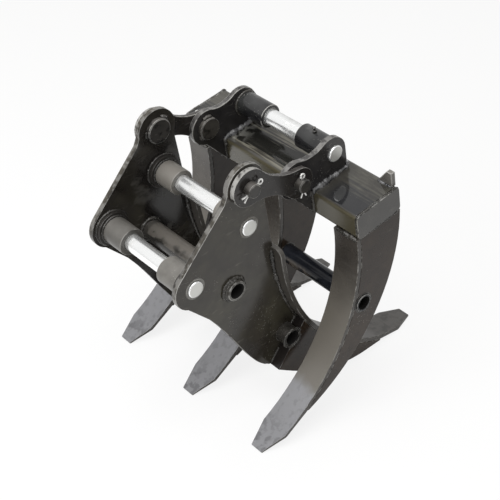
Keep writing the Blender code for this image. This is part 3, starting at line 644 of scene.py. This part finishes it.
# Welds of the frame
# Hand-laid fillet beads join strap to plate, box to plate, collars and tubes to plate. They swell
# and pinch along their length, with small starts and stops, and are painted over.

weld_paint = black_paint(
    "weld_paint", (0.016, 0.015, 0.013), (0.044, 0.041, 0.035), (0.14, 0.13, 0.12), 0.18, 0.35, 0.8,
)
weld_place = surface(weld_paint)[0]
# Pale specks on the beads are painted glints.
weld_glints = weld_place.dots(330.0, 0.16) * weld_place.noise(60.0, 3.0).between(0.48, 0.60)
over(weld_paint, weld_glints * 0.8, (0.38, 0.37, 0.35), 0.35)
PUDDLE = 0.0016
SWELL_KEPT = 0.8
RIPPLE = 0.10
RIPPLE_TURN = 2.1
THINNEST = 0.3
THICKEST = 1.35
SWAY = 0.00025
chance = random.Random(4)


def evenly(places, step):
    """The same path in even steps."""
    stepped = [places[0]]
    to_next = step
    for start, end in zip(places, places[1:]):
        length = (end - start).length
        reached = to_next
        while reached < length:
            stepped.append(start.lerp(end, reached / length))
            reached += step
        to_next = reached - length
    return stepped + [places[-1]]


def weld_bead(name, places, thickness, ragged=0.16, paint=weld_paint):
    """A bead along a path: a round bar whose thickness ripples with each puddle."""
    path = evenly(places, PUDDLE)
    curve = bpy.data.curves.new(name, "CURVE")
    curve.dimensions = "3D"
    curve.bevel_depth = thickness
    curve.bevel_resolution = 2
    curve.use_fill_caps = True
    line = curve.splines.new("POLY")
    line.points.add(len(path) - 1)
    swell = 0.0
    for index, (point, place) in enumerate(zip(line.points, path)):
        swell = SWELL_KEPT * swell + chance.uniform(-0.5, 0.5) * ragged
        puddle = RIPPLE * math.sin(index * RIPPLE_TURN)
        ends = min(1.0, 0.45 + 0.3 * min(index, len(path) - 1 - index))
        sway = Vector([chance.uniform(-SWAY, SWAY) for _ in range(3)])
        point.co = (*(place + sway), 1.0)
        point.radius = ends * min(THICKEST, max(THINNEST, 1.0 + swell + puddle))
    bead = bpy.data.objects.new(name, curve)
    bpy.context.scene.collection.objects.link(bead)
    select_only(bead)
    bpy.ops.object.convert(target="MESH")
    bead = bpy.context.view_layer.objects.active
    bpy.ops.object.shade_smooth()
    bead.data.materials.clear()
    bead.data.materials.append(paint)
    return bead


def joined(name, beads, body):
    """The beads of one body as one piece."""
    bpy.ops.object.select_all(action="DESELECT")
    for bead in beads:
        bead.select_set(True)
    bpy.context.view_layer.objects.active = beads[0]
    bpy.ops.object.join()
    piece = bpy.context.view_layer.objects.active
    piece.name = name
    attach(piece, body)
    return piece


PLATE_OUTER = 0.116
PLATE_INNER = 0.106
OFF_PLATE = 0.0008
THIN_BEAD = 0.0024
SMALL_BEAD = 0.0026
COMMON_BEAD = 0.0030
TACK_BEAD = 0.0036
FULL_BEAD = 0.0038
BELLY_BEAD = 0.0040
STRAP_TOP_BEAD = 0.0042
STRAP_CENTRE = (0.44109, -0.18877)
STRAP_BACK = 0.4145
BOX_FOOT = (-0.018, -0.412)
BOX_TOP = (0.0557, -0.3408)
STRAP_TOP_ARC = (176.0, 185.5)
STRAP_ARC = (185.0, 202.0)
FOOT_SPANS = ((0.02, 0.33), (0.76, 0.97))
COLLAR_WIDTH = 0.0072
NECK_DEPTH = 0.0086
# Arcs are in degrees from the back; the upper tie's beads also have their own radius.
UPPER_TIE_ARCS = ((8, 128, 0.0212), (120, 205, 0.0222), (210, 268, 0.0214), (276, 356, 0.0218))
SECOND_PASS = (0.0196, 70.0, 250.0)
SECOND_PASS_OUT = 0.0046
UPPER_TIE_INNER = 0.0205
LOWER_TIE_ARCS = ((8, 100), (112, 215), (228, 345))
LOWER_TIE_RING = 0.0192
LOWER_TIE_END = 0.1382
HEAD_DEPTH = 0.0016
FRAME_HEAD = 0.0236
FRAME_TACK_ARCS = ((25, 62), (158, 186), (248, 292))

for side, sign in (("right", -1), ("left", 1)):
    beads = []
    for face_y in (PLATE_OUTER + OFF_PLATE, PLATE_INNER - OFF_PLATE):
        y = sign * face_y
        strap_top = ring(LINK_PIN, STRAP_CENTRE, y, STRAP_BACK + 0.0012, *STRAP_TOP_ARC)
        beads.append(weld_bead("strap_top_bead", strap_top, STRAP_TOP_BEAD, 0.36))
        strap = ring(LINK_PIN, STRAP_CENTRE, y, STRAP_BACK + OFF_PLATE, *STRAP_ARC)
        beads.append(weld_bead("strap_bead", strap, COMMON_BEAD, 0.26))
        foot = leaned(LINK_PIN, BOX_FOOT[0], y, BOX_FOOT[1])
        top_end = leaned(LINK_PIN, BOX_TOP[0], y, BOX_TOP[1])
        for start, end in FOOT_SPANS:
            foot_seam = [foot.lerp(top_end, start), foot.lerp(top_end, end)]
            beads.append(weld_bead("foot_bead", foot_seam, THIN_BEAD, 0.30))
    for centre, body_radius in ((DIPPER_PIN, DIPPER_BODY), (LINKAGE_PIN, LINKAGE_BODY)):
        collar_ring = ring(LINK_PIN, centre, sign * (PLATE_INNER - 0.0006), body_radius + COLLAR_WIDTH)
        beads.append(weld_bead("collar_bead", collar_ring, SMALL_BEAD, 0.26))
        neck = ring(LINK_PIN, centre, sign * (PLATE_INNER - NECK_DEPTH), body_radius + 0.0004)
        beads.append(weld_bead("neck_bead", neck, SMALL_BEAD, 0.26))
    for start, end, radius in UPPER_TIE_ARCS:
        broken = ring(LINK_PIN, UPPER_TIE, sign * (PLATE_OUTER + OFF_PLATE), radius, start, end)
        beads.append(weld_bead("upper_tie_bead", broken, FULL_BEAD, 0.36))
    second = ring(LINK_PIN, UPPER_TIE, sign * (PLATE_OUTER + SECOND_PASS_OUT), *SECOND_PASS)
    beads.append(weld_bead("upper_tie_second_bead", second, COMMON_BEAD, 0.34))
    inside_ring = ring(LINK_PIN, UPPER_TIE, sign * (PLATE_INNER - OFF_PLATE), UPPER_TIE_INNER)
    beads.append(weld_bead("upper_tie_inner_bead", inside_ring, TACK_BEAD, 0.30))
    for start, end in LOWER_TIE_ARCS:
        end_ring = ring(LINK_PIN, LOWER_TIE, sign * LOWER_TIE_END, LOWER_TIE_RING, start, end)
        beads.append(weld_bead("lower_tie_bead", end_ring, THIN_BEAD, 0.36))
    for start, end in FRAME_TACK_ARCS:
        head_ring = ring(LINK_PIN, (0.0, 0.0), sign * (PLATE_INNER - HEAD_DEPTH), FRAME_HEAD, start, end)
        beads.append(weld_bead("head_tack", head_ring, TACK_BEAD, 0.50))
    belly_outer = leaned(LINK_PIN, BOX_FOOT[0] - 0.001, sign * PLATE_OUTER, BOX_FOOT[1] + 0.002)
    belly_inner = leaned(LINK_PIN, BOX_FOOT[0] - 0.001, sign * PLATE_INNER, BOX_FOOT[1] + 0.002)
    beads.append(weld_bead("belly_bead", [belly_outer, belly_inner], BELLY_BEAD, 0.16))
    joined(f"frame_welds_{side}", beads, "frame")


# Welds of the upper jaw
# The same fillets hold the ears and their bosses, the caps, the horn, the tines under the beam and
# the tube where it comes through the cheeks. Those at the ears' feet are heavy, scuffed pale and
# lightened with painted highlights.

EAR_HEEL = 0.113
TOP_PIN = (0.089, 0.0)
TOP_BOSS = 0.0222
TOE_BEAD = 0.0034
HEAVY_BEAD = 0.0052
DROP_BEAD = 0.0040
CAP_BEAD = 0.0021
JAW_HEAD = 0.0216
JAW_TACK_ARCS = ((60.0, 110.0), (200.0, 225.0))
CAP_SEAM = 0.2165
ROUND_CORNER = 0.007
JAW_TIE_RING = 0.0180
FROM_EDGE = 0.0012
SECOND_RUN_DROP = 0.0050

foot_weld_paint = black_paint(
    "foot_weld_paint", (0.026, 0.026, 0.028), (0.060, 0.060, 0.063), (0.20, 0.20, 0.20), 0.14, 0.5, 1.0,
)
# Pale patches on these beads are scuffs with painted highlights.
scraped_and_highlight = surface(foot_weld_paint)[0].noise(75.0, 9.0).between(0.44, 0.62)
over(foot_weld_paint, scraped_and_highlight * 0.75, (0.27, 0.27, 0.275), 0.24)
beads = []
for sign in (-1, 1):
    for face_y, heavy in ((PLATE_OUTER + FROM_EDGE, sign < 0), (PLATE_INNER - OFF_PLATE, sign > 0)):
        y = sign * face_y
        heel = leaned(JAW_PIN, EAR_HEEL, y, BEAM_TOP + OFF_PLATE)
        toe_top = leaned(JAW_PIN, BEAM_FRONT - OFF_PLATE, y, BEAM_TOP + OFF_PLATE)
        toe = leaned(JAW_PIN, BEAM_FRONT - 0.0010, y, BEAM_BOTTOM + 0.006)
        thick = HEAVY_BEAD if heavy else TOE_BEAD
        foot_paint = foot_weld_paint if heavy else weld_paint
        beads.append(weld_bead("ear_foot_bead", [heel, toe_top], thick, 0.50, foot_paint))
        beads.append(weld_bead("ear_toe_bead", [toe_top, toe], TOE_BEAD, 0.24))
        drop_low = leaned(JAW_PIN, BEAM_FRONT - 0.0030, y - 0.006 * math.copysign(1.0, y), BEAM_TOP - 0.010)
        beads.append(weld_bead("toe_drop", [toe_top, drop_low], DROP_BEAD, 0.40))
        heel_up = leaned(JAW_PIN, EAR_HEEL + 0.0004, y, BEAM_TOP + 0.014)
        beads.append(weld_bead("ear_heel_bead", [heel, heel_up], COMMON_BEAD, 0.40, foot_paint))
    boss = ring(JAW_PIN, TOP_PIN, sign * (PLATE_INNER - OFF_PLATE), TOP_BOSS)
    beads.append(weld_bead("top_boss_bead", boss, COMMON_BEAD, 0.30))
    for start, end in JAW_TACK_ARCS:
        head_ring = ring(JAW_PIN, (0.0, 0.0), sign * (PLATE_INNER - HEAD_DEPTH), JAW_HEAD, start, end)
        beads.append(weld_bead("head_tack", head_ring, TOE_BEAD, 0.50))
    seam = []
    for centre_x, centre_z, start in (
        (BEAM_BACK - ROUND_CORNER, BEAM_TOP - ROUND_CORNER, 0.0),
        (BEAM_FRONT + ROUND_CORNER, BEAM_TOP - ROUND_CORNER, 90.0),
        (BEAM_FRONT + ROUND_CORNER, BEAM_BOTTOM + ROUND_CORNER, 180.0),
        (BEAM_BACK - ROUND_CORNER, BEAM_BOTTOM + ROUND_CORNER, 270.0),
    ):
        seam += ring(
            JAW_PIN, (centre_x, centre_z), sign * CAP_SEAM, ROUND_CORNER - 0.0013, start, start + 90.0,
        )
    seam.append(seam[0])
    beads.append(weld_bead("cap_bead", seam, CAP_BEAD, 0.34))
drop = leaned(Vector(), 0.0, 0.0, -SECOND_RUN_DROP)
for middle in TINE_MIDDLES:
    for side_y in (middle - HALF_TINE + FROM_EDGE, middle + HALF_TINE - FROM_EDGE):
        front_end = leaned(JAW_PIN, BEAM_FRONT + 0.004, side_y, BEAM_BOTTOM)
        back_end = leaned(JAW_PIN, BEAM_BACK - 0.004, side_y, BEAM_BOTTOM)
        beads.append(weld_bead("tine_root_bead", [front_end, back_end], SMALL_BEAD, 0.45))
        through = ring(JAW_PIN, JAW_TIE, side_y, JAW_TIE_RING)
        beads.append(weld_bead("tube_bead", through, SMALL_BEAD, 0.36))
    left_end = leaned(JAW_PIN, BEAM_FRONT - 0.0005, middle - HALF_TINE + 0.002, BEAM_BOTTOM - 0.001)
    right_end = leaned(JAW_PIN, BEAM_FRONT - 0.0005, middle + HALF_TINE - 0.002, BEAM_BOTTOM - 0.001)
    beads.append(weld_bead("tine_front_bead", [left_end, right_end], FULL_BEAD, 0.40))
    second_run = [left_end + drop, right_end + drop]
    beads.append(weld_bead("tine_front_second_bead", second_run, SMALL_BEAD, 0.50))
horn_left = leaned(JAW_PIN, BEAM_BACK - 0.0105, HORN_OUTER + 0.001, BEAM_TOP + 0.0004)
horn_right = leaned(JAW_PIN, BEAM_BACK - 0.0105, HORN_INNER_FOOT - 0.001, BEAM_TOP + 0.0004)
beads.append(weld_bead("horn_bead", [horn_left, horn_right], SMALL_BEAD, 0.36, foot_weld_paint))
joined("jaw_welds", beads, "upper_jaw")


# Floor, light and camera
# A pale floor under a soft overhead light, as in a bright studio. The camera looks down on the
# right side from the front, through a lens of about 83 mm.

FLOOR_SIZE = 40.0
FLOOR_GREY = 0.80
FLOOR_ROUGHNESS = 0.8
FLOOR_WHITE_SEEN = 0.84
FLOOR_WHITE_MIRRORED = 0.3
SKY_COLOUR = (1.0, 0.985, 0.955, 1.0)
SKY_STRENGTH = 0.40
SKY_WHITE_MIRRORED = 0.6
WHITE = (1.0, 1.0, 1.0, 1.0)
LAMPS_AIM = Vector((0.0, 0.0, 0.28))
LENS = 82.759
CAMERA_PLACE = (-1.11982, -1.22273, 1.49162)
CAMERA_TURN = (52.9229, -0.1755, -41.6152)

bpy.ops.object.select_all(action="DESELECT")
bpy.ops.mesh.primitive_plane_add(size=FLOOR_SIZE, location=(0.0, 0.0, cad_low.z))
floor = bpy.context.view_layer.objects.active
floor.name = "floor"
floor_paint = bpy.data.materials.new("floor_paint")
floor_paint.use_nodes = True
floor_tree = floor_paint.node_tree
floor_shader = floor_tree.nodes["Principled BSDF"]
floor_shader.inputs["Base Color"].default_value = (FLOOR_GREY, FLOOR_GREY, FLOOR_GREY, 1.0)
floor_shader.inputs["Roughness"].default_value = FLOOR_ROUGHNESS
rays = floor_tree.nodes.new("ShaderNodeLightPath")
camera_ray = Maths(floor_tree, rays.outputs["Is Camera Ray"])
glossy_ray = Maths(floor_tree, rays.outputs["Is Glossy Ray"])
white = floor_tree.nodes.new("ShaderNodeEmission")
white.inputs["Color"].default_value = WHITE
blend = floor_tree.nodes.new("ShaderNodeMixShader")
link(floor_tree, camera_ray * FLOOR_WHITE_SEEN + glossy_ray * FLOOR_WHITE_MIRRORED, blend.inputs[0])
floor_tree.links.new(floor_shader.outputs[0], blend.inputs[1])
floor_tree.links.new(white.outputs[0], blend.inputs[2])
floor_tree.links.new(blend.outputs[0], floor_tree.nodes["Material Output"].inputs["Surface"])
floor.data.materials.append(floor_paint)

world = bpy.data.worlds.new("studio")
bpy.context.scene.world = world
world.use_nodes = True
air = world.node_tree
sky = air.nodes["Background"]
sky.inputs["Color"].default_value = SKY_COLOUR
sky.inputs["Strength"].default_value = SKY_STRENGTH
plain = air.nodes.new("ShaderNodeBackground")
plain.inputs["Color"].default_value = WHITE
plain.inputs["Strength"].default_value = 1.0
air_rays = air.nodes.new("ShaderNodeLightPath")
mirrored = Maths(air, air_rays.outputs["Is Glossy Ray"]) * SKY_WHITE_MIRRORED
either = air.nodes.new("ShaderNodeMixShader")
link(air, Maths(air, air_rays.outputs["Is Camera Ray"]) + mirrored, either.inputs[0])
air.links.new(sky.outputs[0], either.inputs[1])
air.links.new(plain.outputs[0], either.inputs[2])
air.links.new(either.outputs[0], air.nodes["World Output"].inputs["Surface"])

for name, spot, size, power in (
    ("overhead_light", (-0.5, -0.1, 2.6), 2.2, 60.0),
    ("left_light", (-2.4, 0.3, 1.8), 1.6, 42.0),
):
    lamp = bpy.data.lights.new(name, "AREA")
    lamp.shape = "SQUARE"
    lamp.size = size
    lamp.energy = power
    holder = bpy.data.objects.new(name, lamp)
    bpy.context.scene.collection.objects.link(holder)
    holder.location = spot
    holder.rotation_euler = (LAMPS_AIM - Vector(spot)).to_track_quat("-Z", "Y").to_euler()

camera_data = bpy.data.cameras.new("camera")
camera_data.lens = LENS
camera_data.sensor_width = 36.0
camera_data.clip_start = 0.05
camera = bpy.data.objects.new("camera", camera_data)
bpy.context.scene.collection.objects.link(camera)
camera.location = CAMERA_PLACE
camera.rotation_euler = [math.radians(turn) for turn in CAMERA_TURN]
bpy.context.scene.camera = camera
bpy.context.scene.view_settings.view_transform = "Standard"
